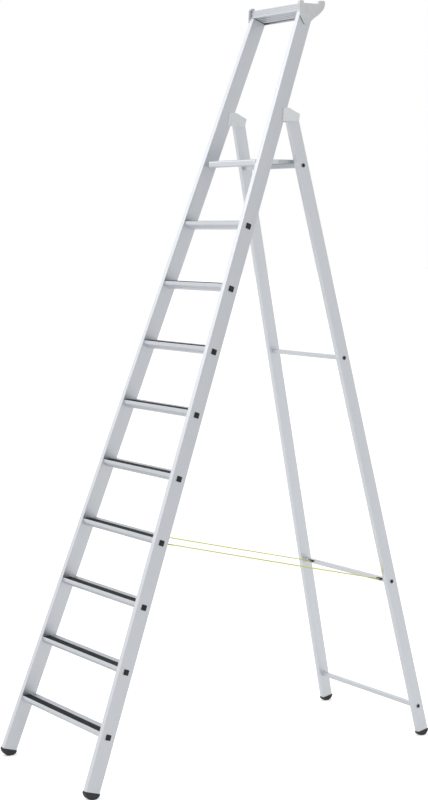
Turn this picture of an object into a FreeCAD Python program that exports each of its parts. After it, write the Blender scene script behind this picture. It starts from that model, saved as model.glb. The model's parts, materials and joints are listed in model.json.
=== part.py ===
import FreeCAD, Part
import math
import os

# Aluminium platform step ladder with flat treads on the front frame, a plain
# rear support frame, a tilting platform, a tool tray above the hoop and two
# webbing spreader straps.  Millimetres, +Z up, X across the ladder, the front
# (climbing side) towards -Y.  Everything is first laid out in a working frame
# whose Y = 0 is the front face of the stiles at floor level; the last step
# moves it so that the origin is the middle of the footprint on the floor.

Vec = FreeCAD.Vector

# ------------------------------------------------------------ driving sizes
STILE_LEAN = 20.52          # degrees from vertical, top towards the rear
STILE_X0 = 355.5            # outer face of a stile from the middle, at floor
STILE_K = 0.0630            # inward taper of the outer face per mm of height
STILE_T = 24.0              # stile section across the ladder
STILE_D = 60.0              # stile section, front to back
STILE_WALL = 2.0
STILE_R = 2.0               # outer corner radius of the extrusion
STILE_TOP_Z = 2922.0        # front edge of the square-cut stile top

TREADS = 9
TREAD_PITCH = 235.0         # vertical; 250 along the stile
TREAD_Z0 = 245.6            # top of the lowest tread
TREAD_NOSE = 4.0            # front of the nose, behind the stile's front face line
TREAD_REAR = 66.5
BOX_BACK = 30.0             # centre of the square chamber behind the front face
BOX_BELOW = 19.6            # and below the tread top
BOX_HALF = 10.5             # outer half size of the square chamber
BOX_BORE = 8.4              # inner half size, closed by a plug
LIP_H = 13.5
STRIP_Y0 = 4.9              # anti-slip insert, measured like the nose
STRIP_Y1 = 38.5

LEG_LEAN = 13.21            # degrees from vertical, top towards the front
LEG_Y0 = 1610.1             # front face of a rear leg at floor level
LEG_X0 = 348.5
LEG_K = 0.06059
LEG_T = 22.8
LEG_D = 50.0
LEG_WALL = 1.8

HINGE_Y = 1043.0
HINGE_Z = 2525.0
PIN_R = 5.0
BUSH_BORE = 5.05
BUSH_R = 7.5

BRACE_Z = (128.2, 667.8, 1589.1, 2338.3)
BRACE_DEPTH = (17.0, 17.0, 17.0, 25.0)      # the top one carries the platform
BRACE_HEIGHT = (17.5, 17.5, 17.5, 18.0)
BRACE_WALL = 1.6
SLEEVE_R = 6.0              # tubular rivet shank
SLEEVE_BORE = 4.4
RING_R = 9.6                # flange of the tubular rivet
HEAD_R = 7.0                # head of the plug that closes it
PLUG_HEAD = 11.0            # half size of the square plug head in the stile

PLAT_TOP = 2360.6
PLAT_FRONT = 889.0
PLAT_REAR = 1104.5
PLAT_HALF = 165.5
PLAT_NOSE_H = 25.5
PLAT_THICK = 13.0
PLAT_PIVOT_Y = 905.5
PLAT_PIVOT_Z = 2346.0

STRAP_X = 240.0
STRAP_W = 25.0
STRAP_T = 2.0

# ------------------------------------------------------------ helpers
TH = math.radians(STILE_LEAN)
TR = math.radians(LEG_LEAN)
AF = math.atan(STILE_K * math.cos(TH))
AR = math.atan(LEG_K * math.cos(TR))


def placement(origin, u, v, w):
    m = FreeCAD.Matrix(u.x, v.x, w.x, origin.x,
                       u.y, v.y, w.y, origin.y,
                       u.z, v.z, w.z, origin.z,
                       0, 0, 0, 1)
    return FreeCAD.Placement(m)


def leaning_frame(x0, y0, lean, taper):
    """Local frame of a right-hand post: u outward, v to the rear, w up its length."""
    axis = Vec(0, math.sin(lean), math.cos(lean))
    rear = Vec(0, math.cos(lean), -math.sin(lean))
    out = Vec(math.cos(taper), math.sin(taper) * axis.y, math.sin(taper) * axis.z)
    up = Vec(-math.sin(taper), math.cos(taper) * axis.y, math.cos(taper) * axis.z)
    return placement(Vec(x0, y0, 0), out, rear, up)


STILE = leaning_frame(STILE_X0, 0.0, TH, AF)
LEG = leaning_frame(LEG_X0, LEG_Y0, -TR, AR)


def place(shape, frame):
    s = shape.copy()
    s.Placement = frame.multiply(s.Placement)
    return s


def mirrored(shape):
    return shape.mirror(Vec(0, 0, 0), Vec(1, 0, 0))


def box(x0, x1, y0, y1, z0, z1):
    return Part.makeBox(x1 - x0, y1 - y0, z1 - z0, Vec(x0, y0, z0))


def rounded_wire(pts, to3d):
    """Closed wire through (a, b) or (a, b, radius) corners."""
    n = len(pts)
    corners = []
    for i, p in enumerate(pts):
        a, b = p[0], p[1]
        r = p[2] if len(p) > 2 else 0.0
        if r <= 0:
            corners.append(((a, b), (a, b), None))
            continue
        pa, pb = pts[i - 1], pts[(i + 1) % n]
        l1 = math.hypot(pa[0] - a, pa[1] - b)
        l2 = math.hypot(pb[0] - a, pb[1] - b)
        u1 = ((pa[0] - a) / l1, (pa[1] - b) / l1)
        u2 = ((pb[0] - a) / l2, (pb[1] - b) / l2)
        ang = math.acos(max(-1.0, min(1.0, u1[0] * u2[0] + u1[1] * u2[1])))
        t = r / math.tan(ang / 2)
        bx, by = u1[0] + u2[0], u1[1] + u2[1]
        bl = math.hypot(bx, by)
        bx, by = bx / bl, by / bl
        d = r / math.sin(ang / 2) - r
        corners.append(((a + u1[0] * t, b + u1[1] * t),
                        (a + u2[0] * t, b + u2[1] * t),
                        (a + bx * d, b + by * d)))
    edges = []
    for i, (p1, p2, mid) in enumerate(corners):
        if mid is not None:
            edges.append(Part.Arc(to3d(*p1), to3d(*mid), to3d(*p2)).toShape())
        q1 = corners[(i + 1) % n][0]
        if math.hypot(q1[0] - p2[0], q1[1] - p2[1]) > 1e-6:
            edges.append(Part.LineSegment(to3d(*p2), to3d(*q1)).toShape())
    return Part.Wire(edges)


def prism_x(pts, x0, x1):
    """(y, z[, r]) outline extruded along X."""
    w = rounded_wire(pts, lambda a, b: Vec(x0, a, b))
    return Part.Face(w).extrude(Vec(x1 - x0, 0, 0))


def prism_u(pts, u0, u1):
    """(v, w[, r]) outline in a post's local frame, extruded along u."""
    w = rounded_wire(pts, lambda a, b: Vec(u0, a, b))
    return Part.Face(w).extrude(Vec(u1 - u0, 0, 0))


def tube_w(u0, u1, v0, v1, w0, w1, wall, r):
    """Rectangular hollow extrusion along w with rounded outer corners."""
    wo = rounded_wire([(u0, v0, r), (u1, v0, r), (u1, v1, r), (u0, v1, r)],
                      lambda a, b: Vec(a, b, w0))
    outer = Part.Face(wo).extrude(Vec(0, 0, w1 - w0))
    ri = max(r - wall, 0.4)
    wi = rounded_wire([(u0 + wall, v0 + wall, ri), (u1 - wall, v0 + wall, ri),
                       (u1 - wall, v1 - wall, ri), (u0 + wall, v1 - wall, ri)],
                      lambda a, b: Vec(a, b, w0 - 1))
    inner = Part.Face(wi).extrude(Vec(0, 0, w1 - w0 + 2))
    return outer.cut(inner), outer


def cyl_x(y, z, r, x0, x1):
    return Part.makeCylinder(r, x1 - x0, Vec(x0, y, z), Vec(1, 0, 0))


def one(shape):
    """The single solid of a boolean result."""
    s = shape.removeSplitter()
    sol = s.Solids
    if len(sol) != 1:
        raise RuntimeError("expected one solid, got %d" % len(sol))
    return sol[0]


def inward(frame, u, lo=-600.0, hi=3700.0):
    """All space on the ladder's side of a post's plane u = const, both sides."""
    h = place(box(-1500, u, -500, 600, lo, hi), frame)
    return h.common(mirrored(h))


nodes = {}

# ------------------------------------------------------------ front feet
# A black cap closes the square-cut end of each stile: a rocker-shaped sole in
# side view, ground flat where it stands, with a plug up inside the extrusion.
FOOT_OVER = 1.2
FOOT_SAG = 18.5
FOOT_FLAT = 0.6


def foot(frame, thick, depth, wall, lean, taper, plug, rim_f, rim_r):
    """Returns (foot shape in world, local w of the post's cut end at v = 0 and v = depth)."""
    half = depth / 2 + FOOT_OVER
    sag = FOOT_SAG if depth > 55 else FOOT_SAG - 3.0
    rad = (half * half + sag * sag) / (2 * sag)
    s, c = math.sin(lean), math.cos(lean)
    # centre height so that the sole's lowest line sits FOOT_FLAT under the floor
    wc = (rad - FOOT_FLAT + depth / 2 * s) / (c * math.cos(taper))
    chord = wc - (rad - sag)
    v0, v1 = -FOOT_OVER, depth + FOOT_OVER
    a = Vec(0, v0, chord)
    b = Vec(0, v1, chord)
    m = Vec(0, depth / 2, wc - rad)
    e = [Part.Arc(a, m, b).toShape(),
         Part.LineSegment(b, Vec(0, v1, chord + rim_r)).toShape(),
         Part.LineSegment(Vec(0, v1, chord + rim_r), Vec(0, v0, chord + rim_f)).toShape(),
         Part.LineSegment(Vec(0, v0, chord + rim_f), a).toShape()]
    face = Part.Face(Part.Wire(e))
    face.translate(Vec(-thick - FOOT_OVER, 0, 0))
    sole = face.extrude(Vec(thick + 2 * FOOT_OVER, 0, 0))
    end = chord + max(rim_f, rim_r)
    edges = [ed for ed in sole.Edges
             if abs(ed.BoundBox.XLength - (thick + 2 * FOOT_OVER)) < 1e-3]
    side = [ed for ed in sole.Edges if ed not in edges
            and abs(ed.BoundBox.ZMax - ed.BoundBox.ZMin) > sag - 1]
    try:
        sole = sole.makeFillet(2.5, side)
    except Exception:
        pass
    fit = wall + 0.25
    plug_box = box(-thick + fit, -fit, fit, depth - fit, chord + 0.5, end + plug)
    hollow = box(-thick + wall + 2.5, -wall - 2.5, wall + 2.5, depth - wall - 2.5,
                 end + 6, end + plug + 1)
    f = sole.fuse(plug_box).cut(hollow)
    f = place(f, frame)
    f = f.cut(box(-900, 900, -900, 2600, -80, 0))
    slope = (rim_r - rim_f) / (v1 - v0)
    return one(f), (chord + rim_f - slope * v0, chord + rim_f + slope * (depth - v0))


def cut_end(bar, ends, depth, thick):
    """Trims a post in its local frame to the slightly raked line of its foot's rim."""
    k = (ends[1] - ends[0]) / depth
    low = prism_u([(-9.0, ends[0] - 60.0), (depth + 9.0, ends[0] - 60.0), (depth + 9.0, ends[1] + 9.0 * k),
                   (-9.0, ends[0] - 9.0 * k)], -thick - 9.0, 9.0)
    return bar.cut(low)


front_foot, STILE_END = foot(STILE, STILE_T, STILE_D, STILE_WALL, TH, AF, 45.0, 7.0, 11.0)
rear_foot, LEG_END = foot(LEG, LEG_T, LEG_D, LEG_WALL, -TR, AR, 40.0, 8.0, 6.5)
STILE_W0, LEG_W0 = min(STILE_END) - 5.0, min(LEG_END) - 5.0
nodes["front_foot_right"] = front_foot
nodes["front_foot_left"] = mirrored(front_foot)
nodes["rear_foot_right"] = rear_foot
nodes["rear_foot_left"] = mirrored(rear_foot)

# ------------------------------------------------------------ stiles
STILE_W1 = STILE_TOP_Z / (math.cos(AF) * math.cos(TH))
stile_tube, stile_bar = tube_w(-STILE_T, 0, 0, STILE_D, STILE_W0, STILE_W1,
                               STILE_WALL, STILE_R)
stile = place(cut_end(stile_tube, STILE_END, STILE_D, STILE_T), STILE)
stile_block = place(stile_bar, STILE)


def tread_origin(i):
    z = TREAD_Z0 + TREAD_PITCH * i
    return z * math.tan(TH), z


def chamber(i, half, r, x0, x1):
    """Square prism along X, set square to the stile, at tread i."""
    y0, z0 = tread_origin(i)
    zc = z0 - BOX_BELOW
    yc = zc * math.tan(TH) + BOX_BACK / math.cos(TH)
    c, s = math.cos(TH), math.sin(TH)
    pts = [(yc + half * (a * c + b * s), zc + half * (-a * s + b * c), r)
           for a, b in ((-1, -1), (1, -1), (1, 1), (-1, 1))]
    return prism_x(pts, x0, x1)


holes = Part.makeCompound([chamber(i, BOX_HALF, 2.6, 0, 600) for i in range(TREADS)])
stile = stile.cut(holes)

# ------------------------------------------------------------ treads
# Horizontal extrusions: grooved top plate, front lip, and a square chamber set
# parallel to the stile.  The chamber runs on through both walls of the stile
# and is flared over outside, and a black plug closes it.
FLARE = 0.9
between = inward(STILE, -STILE_T)
through = inward(STILE, FLARE)
S, C = math.sin(TH), math.cos(TH)

plugs, flanges = [], []
for i in range(TREADS):
    y0, z0 = tread_origin(i)
    zc = z0 - BOX_BELOW
    yc = zc * math.tan(TH) + BOX_BACK / C

    def loc(v, w):
        return (yc + v * C + w * S, zc - v * S + w * C)

    def up_to(v, z):
        """Point on the chamber wall line v = const at height z."""
        w = (z - zc + v * S) / C
        return loc(v, w)

    h = BOX_HALF
    under = z0 - 2.6
    outer = [(y0 + TREAD_NOSE, z0 - LIP_H, 1.5), (y0 + TREAD_NOSE, z0, 1.6),
             (y0 + TREAD_REAR, z0, 1.2), (y0 + TREAD_REAR, z0 - 9.0, 0.8),
             (y0 + TREAD_REAR - 2.4, z0 - 9.0, 0.8), (y0 + TREAD_REAR - 2.4, under, 1.5)]
    outer += [up_to(h, under) + (2.5,), loc(h, -h) + (1.5,), loc(-h, -h) + (1.5,)]
    body = prism_x(outer, -420, 420)
    k = BOX_BORE
    upper = [loc(-k, h), loc(k, h), up_to(k, z0 - 3.4), up_to(-k, z0 - 4.2)]
    cuts = [prism_x([upper[0] + (0.8,), upper[1] + (0.8,), upper[2] + (0.8,),
                     upper[3] + (0.8,)], -430, 430)]
    # small chamber behind the nose
    cuts.append(prism_x([(y0 + TREAD_NOSE + 2.2, z0 - 4.0, 1.0), up_to(-h, z0 - 4.0) + (1.0,),
                         loc(-h, -3.0) + (1.0,), (y0 + TREAD_NOSE + 2.2, z0 - LIP_H + 0.4, 1.0)], -430, 430))
    cuts.append(prism_x([(y0 + STRIP_Y0, z0 - 1.6), (y0 + STRIP_Y1, z0 - 1.6),
                         (y0 + STRIP_Y1, z0 + 3), (y0 + STRIP_Y0, z0 + 3)], -430, 430))
    for g in range(8):
        gy = y0 + 41.3 + 2.9 * g
        cuts.append(prism_x([(gy, z0 + 2), (gy, z0 - 0.7), (gy + 1.3, z0 - 0.7),
                             (gy + 1.3, z0 + 2)], -430, 430))
    body = body.cut(Part.makeCompound(cuts)).common(between)
    tongue = chamber(i, BOX_HALF, 2.6, -420, 420).common(through)
    zt_w = (zc + BOX_BACK * S) / (C * math.cos(AF))
    q = PLUG_HEAD + 3.0
    flange = place(prism_u([(BOX_BACK - q, zt_w - q, 5.4), (BOX_BACK + q, zt_w - q, 5.4),
                            (BOX_BACK + q, zt_w + q, 5.4), (BOX_BACK - q, zt_w + q, 5.4)],
                           0.0, FLARE), STILE)
    body = body.fuse([tongue, flange, mirrored(flange)])
    body = body.cut(chamber(i, BOX_BORE, 2.2, -430, 430))
    nodes["tread_%d" % (i + 1)] = one(body)
    # black ribbed insert bonded into the recess along the nose
    rib = [(y0 + STRIP_Y0, z0 - 1.6)]
    step = (STRIP_Y1 - STRIP_Y0) / 10
    for n in range(10):
        a = y0 + STRIP_Y0 + n * step
        rib += [(a, z0 + 0.9), (a + 2.3, z0 + 0.9), (a + 2.3, z0 + 0.1), (a + step, z0 + 0.1)]
    rib[-2] = (y0 + STRIP_Y1 - 0.9, z0 + 0.1)
    rib[-1] = (y0 + STRIP_Y1, z0 + 0.1)
    rib.append((y0 + STRIP_Y1, z0 - 1.6))
    nodes["tread_strip_%d" % (i + 1)] = one(prism_x(rib, -420, 420).common(between))
    # plugs, one each end
    cap = chamber(i, BOX_BORE, 2.2, 0, 420)
    shell = place(box(-14.0, FLARE + 0.2, -20, 90, zt_w - 30, zt_w + 30), STILE)
    p = cap.common(shell)
    core = chamber(i, BOX_BORE - 2.0, 1.0, 0, 420)
    core = core.common(place(box(-20.0, -3.0, -20, 90, zt_w - 30, zt_w + 30), STILE))
    q = PLUG_HEAD
    head = place(prism_u([(BOX_BACK - q, zt_w - q, 3.2), (BOX_BACK + q, zt_w - q, 3.2),
                          (BOX_BACK + q, zt_w + q, 3.2), (BOX_BACK - q, zt_w + q, 3.2)],
                         FLARE, FLARE + 1.3), STILE)
    p = one(p.cut(core).fuse(head))
    plugs += [p, mirrored(p)]

nodes["tread_end_plugs"] = Part.makeCompound(plugs)

# ------------------------------------------------------------ tool tray and end caps
# The tray is one extrusion lying on the square-cut tops of the stiles: a
# shallow trough with a closed chamber below.  A cast cap at each end covers
# its section, reaches down the stile and carries two upturned horns.
tray_out = [(1095.0, 2951.0, 2.0), (1095.0, 2921.7, 2.0), (1149.6, 2901.3),
            (1156.0, 2898.8, 2.0), (1163.0, 2902.0, 3.0), (1183.0, 2915.0, 8.0), (1200.5, 2934.0, 10.0),
            (1206.5, 2946.0, 6.0), (1206.5, 2951.5, 1.5), (1204.0, 2951.5, 1.0),
            (1203.6, 2947.0, 3.0), (1197.0, 2936.0, 5.0), (1099.0, 2936.0, 4.0), (1098.2, 2951.0, 1.0)]
tray_in = [(1097.6, 2933.4, 1.0), (1097.6, 2923.6, 1.0), (1138.0, 2908.4, 0.6), (1138.0, 2912.0, 0.6),
           (1154.6, 2912.0, 0.6), (1154.6, 2903.4, 0.6), (1162.0, 2905.2, 2.0),
           (1181.0, 2917.5, 5.0), (1193.0, 2930.5, 3.0), (1194.0, 2933.4, 1.0)]
GROOVE = 1.3
tray_cuts = [prism_x(tray_in, -430, 430),
             # deep screw channel open downwards along the rear of the underside
             prism_x([(1139.8, 2888.0), (1152.4, 2888.0), (1152.4, 2910.2, 0.8), (1139.8, 2910.2, 0.8)], -430, 430)]
for z in (2945.5, 2938.5, 2931.5):
    tray_cuts.append(prism_x([(1094, z - 1.2), (1095 + GROOVE, z - 0.8), (1095 + GROOVE, z + 0.8),
                              (1094, z + 1.2)], -430, 430))
ux, uz = 54.6 / 58.26, -20.4 / 58.26
for t in (10.0, 22.5, 35.0):
    py, pz = 1095.0 + ux * t, 2921.7 + uz * t
    tray_cuts.append(prism_x([(py + uz * 1.0, pz - ux * 1.0), (py + ux * 2.2 + uz * 1.0, pz + uz * 2.2 - ux * 1.0),
                              (py + ux * 2.2 - uz * GROOVE, pz + uz * 2.2 + ux * GROOVE),
                              (py - uz * GROOVE, pz + ux * GROOVE)], -430, 430))
tray = prism_x(tray_out, -420, 420).cut(Part.makeCompound(tray_cuts))
for y in range(1108, 1196, 9):
    tray = tray.cut(prism_x([(y, 2935.2), (y + 2.0, 2935.2), (y + 2.0, 2937), (y, 2937)], -430, 430))
CAP_T = 4.4
CAP_GAP = 2.0               # rebate between the cap's skirt and the stile
nodes["tool_tray"] = one(tray.common(inward(STILE, -1.0)))

cap_line = [(1087.0, 2953.0, 2.0), (1086.8, 2921.0, 6.0), (1088.5, 2905.0, 8.0), (1107.5, 2873.2, 5.0),
            (1119.0, 2872.5, 5.0), (1141.0, 2885.0, 8.0), (1154.0, 2895.5, 8.0), (1173.0, 2907.5, 14.0),
            (1189.0, 2919.0, 12.0), (1204.5, 2935.5, 10.0), (1210.0, 2950.0, 8.0), (1210.0, 2961.0, 4.0),
            (1206.0, 2965.0, 2.5), (1188.5, 2964.5, 4.0), (1181.5, 2960.5, 2.0), (1179.0, 2952.0, 2.0),
            (1108.0, 2951.2, 2.0), (1106.5, 2961.2, 3.0), (1089.5, 2960.2, 4.0)]
cap_plate = prism_x(cap_line, 60, 400)
cap_face = Part.Face(rounded_wire(cap_line, lambda a, b: Vec(60, a, b)))
cap_core = cap_face.makeOffset2D(-3.0).extrude(Vec(340, 0, 0))


def cap_zone(u0, u1):
    return place(box(u0, u1, -60, 260, STILE_W1 - 200, STILE_W1 + 200), STILE)


plate = cap_plate.common(cap_zone(CAP_GAP, CAP_T)).fuse(cap_core.common(cap_zone(0.0, CAP_GAP + 0.1)))
# thicker rim over the tray's end, above the stile
over = prism_x([(1087.0, 2953.0), (1086.9, 2926.0), (1094.0, 2924.0), (1147.0, 2904.0), (1156.0, 2897.5),
                (1173.0, 2908.0), (1189.0, 2919.5), (1204.0, 2936.0), (1209.8, 2950.0), (1209.8, 2961.0),
                (1206.0, 2964.8), (1188.5, 2964.3), (1181.5, 2960.3), (1179.0, 2952.0), (1108.0, 2951.2),
                (1106.5, 2961.0), (1089.5, 2960.0)], 60, 400)
over = over.common(cap_plate).common(cap_zone(-1.0, CAP_GAP + 0.1))
# hooks: the horns are 11 mm wide pads standing above the tray
horns = cap_plate.common(cap_zone(-8.5, CAP_GAP + 0.1)).common(
    box(60, 400, 1070, 1220, 2952.2, 2975))
CAP_FIT = STILE_WALL + 0.15
insert = place(box(-STILE_T + CAP_FIT, -CAP_FIT, CAP_FIT, STILE_D - CAP_FIT,
                   STILE_W1 - 45, STILE_W1), STILE)
cap = plate.fuse([over, horns])
link = place(box(-STILE_WALL - 0.5, 0.3, 19, 42, STILE_W1 - 30, STILE_W1 - 14), STILE)
cap = cap.fuse([insert, link])
window = place(box(-STILE_WALL, 0.0, 19, 42, STILE_W1 - 30, STILE_W1 - 14), STILE)
stile = stile.cut(window)
cap = one(cap)
nodes["tray_end_cap_right"] = cap
nodes["tray_end_cap_left"] = mirrored(cap)
nodes["tool_tray"] = one(nodes["tool_tray"].cut([cap, mirrored(cap), stile_block, mirrored(stile_block)]))

# ------------------------------------------------------------ hinges
# Cast housing: two cheeks wrapping the rear of the stile and a sloping roof.
# The leg's rounded end turns on the pin between the cheeks.
MID_X = STILE_X0 - STILE_K * HINGE_Z - STILE_T / 2      # middle plane at hinge height
CK = 0.0615
CHEEK_IN = 12.9
CHEEK_OUT = 15.4


def casting_frame(x_off=0.0):
    a = math.atan(CK)
    u = Vec(math.cos(a), 0, math.sin(a))
    w = Vec(-math.sin(a), 0, math.cos(a))
    return placement(Vec(MID_X + x_off, 0, HINGE_Z), u, Vec(0, 1, 0), w)


CAST = casting_frame()
hz = HINGE_Z
house = [(993.5, 2502.5 - hz, 3.0), (1069.0, 2502.5 - hz, 2.0), (1075.8, 2531.5 - hz, 5.0),
         (1050.0, 2542.5 - hz, 8.0), (1026.5, 2553.5 - hz, 6.0), (1000.0, 2553.5 - hz, 5.0)]
# the cheek on the inside of the stile reaches a little further forward
house_in = [(985.0, 2502.5 - hz, 3.0)] + house[1:5] + [(992.0, 2553.5 - hz, 5.0)]
block = place(prism_u(house, 0.0, CHEEK_OUT), CAST).fuse(place(prism_u(house_in, -CHEEK_OUT, 0.0), CAST))
ROOF = 2.6
stile_back = HINGE_Z * math.tan(TH) + STILE_D / math.cos(TH)
cavity = [(980.0, 2496.0 - hz), (1082.0, 2496.0 - hz), (1082.0, 2500.0 - hz), (1073.2, 2509.0 - hz), (1072.8, 2529.4 - hz, 3.0),
          (1049.0, 2539.7 - hz, 8.0), (1026.0, 2550.6 - hz, 3.0), (980.0, 2550.6 - hz)]
hollow = place(prism_u(cavity, -CHEEK_IN, CHEEK_IN), CAST)
# the cavity stops at the stile's rear face; ahead of it the cheeks hug the stile
behind = place(box(-200, 200, STILE_D - 0.0, 400, 2400, 3000), STILE)
bracket = block.cut(hollow.common(behind))
bracket = bracket.cut(place(box(-STILE_T, 0, -50, STILE_D, 2400, 3000), STILE))
bracket = bracket.cut(cyl_x(HINGE_Y, HINGE_Z, PIN_R, 60, 400))
rivet_w = (2529.0 + 51.0 * S) / (C * math.cos(AF))
rivet_at = STILE.multVec(Vec(-STILE_T / 2, 51.0, rivet_w))
bracket = bracket.cut(cyl_x(rivet_at.y, rivet_at.z, 4.0, 60, 400))
bracket = one(bracket)
nodes["hinge_bracket_right"] = bracket
nodes["hinge_bracket_left"] = mirrored(bracket)
slab = place(box(-CHEEK_OUT, CHEEK_OUT, 900, 1200, -200, 200), CAST)
pin = one(cyl_x(HINGE_Y, HINGE_Z, PIN_R, 60, 400).common(slab))
nodes["hinge_pin_right"] = pin
nodes["hinge_pin_left"] = mirrored(pin)
rivet = one(cyl_x(rivet_at.y, rivet_at.z, 4.0, 60, 400).common(slab))
nodes["hinge_rivets"] = Part.makeCompound([rivet, mirrored(rivet)])
stile = stile.cut(cyl_x(rivet_at.y, rivet_at.z, 4.0, 60, 400))

# ------------------------------------------------------------ rear legs
SR, CR = math.sin(TR), math.cos(TR)


def leg_w(z, v):
    return (z - v * SR) / (CR * math.cos(AR))


HINGE_V = (HINGE_Y - LEG_Y0) * CR + HINGE_Z * SR          # pivot behind the leg's front face
HINGE_W = (HINGE_Z * CR - (HINGE_Y - LEG_Y0) * SR) / math.cos(AR)
leg_tube, leg_bar = tube_w(-LEG_T, 0, 0, LEG_D, LEG_W0, HINGE_W + 60, LEG_WALL, 1.8)
leg = place(cut_end(leg_tube, LEG_END, LEG_D, LEG_T), LEG)
# rounded end: flat top, quarter round and a slope that clears the roof
END_R = 14.6
a1, a2 = math.radians(-3.0), math.radians(37.5)
pts = []
for k in range(9):
    a = a1 + (a2 - a1) * k / 8
    pts.append((HINGE_V + END_R * math.sin(a), HINGE_W + END_R * math.cos(a)))
far = (HINGE_V + 60.0, HINGE_W + (END_R - 60.0 * math.sin(a2)) / math.cos(a2))
e0 = Vec(0, -20.0, HINGE_W + END_R * math.cos(a1) - (HINGE_V + END_R * math.sin(a1) + 20.0) * math.tan(-a1))
p_in = Vec(0, *pts[0])
p_mid = Vec(0, HINGE_V + END_R * math.sin((a1 + a2) / 2), HINGE_W + END_R * math.cos((a1 + a2) / 2))
p_out = Vec(0, *pts[-1])
keep = Part.Wire([Part.LineSegment(Vec(0, -20, HINGE_W - 200), e0).toShape(),
                  Part.LineSegment(e0, p_in).toShape(),
                  Part.Arc(p_in, p_mid, p_out).toShape(),
                  Part.LineSegment(p_out, Vec(0, far[0], far[1])).toShape(),
                  Part.LineSegment(Vec(0, far[0], far[1]), Vec(0, far[0], HINGE_W - 200)).toShape(),
                  Part.LineSegment(Vec(0, far[0], HINGE_W - 200), Vec(0, -20, HINGE_W - 200)).toShape()])
kf = Part.Face(keep)
kf.translate(Vec(-LEG_T - 20, 0, 0))
keep_top = kf.extrude(Vec(LEG_T + 40, 0, 0))
keep_low = box(-LEG_T - 20, 20, -20, 110, LEG_W0 - 10, HINGE_W - 100)
leg = leg.common(place(keep_top.fuse(keep_low).removeSplitter(), LEG))
leg = leg.cut(cyl_x(HINGE_Y, HINGE_Z, BUSH_R, 60, 400))

# flanged bushes, pressed into the leg from each side, running on the pin
bushes = []
for sgn in (1, -1):
    if sgn > 0:
        zone = place(box(-LEG_T / 2, 1.0, -60, 130, HINGE_W - 60, HINGE_W + 60), LEG)
        flz = place(box(0.0, 1.0, -60, 130, HINGE_W - 60, HINGE_W + 60), LEG)
    else:
        zone = place(box(-LEG_T - 1.0, -LEG_T / 2, -60, 130, HINGE_W - 60, HINGE_W + 60), LEG)
        flz = place(box(-LEG_T - 1.0, -LEG_T, -60, 130, HINGE_W - 60, HINGE_W + 60), LEG)
    b = cyl_x(HINGE_Y, HINGE_Z, BUSH_R, 60, 400).common(zone)
    b = b.fuse(cyl_x(HINGE_Y, HINGE_Z, 11.5, 60, 400).common(flz))
    b = b.cut(cyl_x(HINGE_Y, HINGE_Z, BUSH_BORE, 60, 400))
    bushes.append(one(b))
nodes["hinge_bushes_right"] = Part.makeCompound(bushes)
nodes["hinge_bushes_left"] = Part.makeCompound([mirrored(b) for b in bushes])

# ------------------------------------------------------------ rear braces
# Rectangular tubes between the legs, each held by a flanged tubular rivet
# through the leg; a black plug closes each rivet.
leg_between = inward(LEG, -LEG_T)
sleeves, brace_plugs = [], []
sleeve_cuts = []
names = ("lower", "strap", "middle", "platform")
for n, z in enumerate(BRACE_Z):
    yc = LEG_Y0 - z * math.tan(TR) + LEG_D / 2 / CR
    hd, hh = BRACE_DEPTH[n] / 2, BRACE_HEIGHT[n] / 2
    out = prism_x([(yc - hd, z - hh, 1.5), (yc + hd, z - hh, 1.5), (yc + hd, z + hh, 1.5),
                   (yc - hd, z + hh, 1.5)], -420, 420)
    b = BRACE_WALL
    inn = prism_x([(yc - hd + b, z - hh + b, 0.5), (yc + hd - b, z - hh + b, 0.5),
                   (yc + hd - b, z + hh - b, 0.5), (yc - hd + b, z + hh - b, 0.5)], -430, 430)
    brace = one(out.cut(inn).common(leg_between))
    nodes["rear_brace_%s" % names[n]] = brace
    w = leg_w(z, LEG_D / 2)
    rod = cyl_x(yc, z, SLEEVE_R, 60, 420)
    bore = cyl_x(yc, z, SLEEVE_BORE, 60, 420)
    ring = cyl_x(yc, z, RING_R, 60, 420)
    body = rod.common(place(box(-LEG_T - 16, 0.0, -40, 90, w - 40, w + 40), LEG))
    fl = ring.common(place(box(0.0, 0.9, -40, 90, w - 40, w + 40), LEG))
    sl = one(body.fuse(fl).cut(bore))
    sleeves += [sl, mirrored(sl)]
    sleeve_cuts.append(rod)
    pl = cyl_x(yc, z, SLEEVE_BORE, 60, 420).common(
        place(box(-9.0, 1.5, -40, 90, w - 40, w + 40), LEG))
    head = cyl_x(yc, z, HEAD_R, 60, 420).common(
        place(box(0.9, 2.2, -40, 90, w - 40, w + 40), LEG))
    pl = one(pl.fuse(head))
    brace_plugs += [pl, mirrored(pl)]
leg = leg.cut(Part.makeCompound(sleeve_cuts))
leg = one(leg)
nodes["rear_leg_right"] = leg
nodes["rear_leg_left"] = mirrored(leg)
nodes["brace_rivets"] = Part.makeCompound(sleeves)
nodes["brace_end_plugs"] = Part.makeCompound(brace_plugs)

# ------------------------------------------------------------ platform
# Grooved hollow deck with a deep rounded nose, closed by end caps, turning on
# two pins just inside the stiles.  Its rear lip hooks over the top brace.
pt, pf, pr = PLAT_TOP, PLAT_FRONT, PLAT_REAR
und = pt - PLAT_THICK
deck_out = [(pf, pt, 7.0), (pf, pt - PLAT_NOSE_H, 5.0), (pf + 25.0, pt - PLAT_NOSE_H, 3.0),
            (pf + 25.0, und, 2.0), (pr - 3.0, und, 1.0), (pr - 3.0, pt - 20.5, 0.6), (pr, pt - 20.5, 0.6),
            (pr, pt, 2.5)]
deck = prism_x(deck_out, -PLAT_HALF + 2.0, PLAT_HALF - 2.0)
dc = [prism_x([(pf + 2.6, pt - 2.6, 4.4), (pf + 2.6, pt - PLAT_NOSE_H + 2.4, 2.8),
               (pf + 22.6, pt - PLAT_NOSE_H + 2.4, 1.0), (pf + 22.6, pt - 2.6, 1.0)], -200, 200)]
cells = 5
span = (pr - 3.0 - 2.4) - (pf + 25.0)
cw = span / cells
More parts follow.
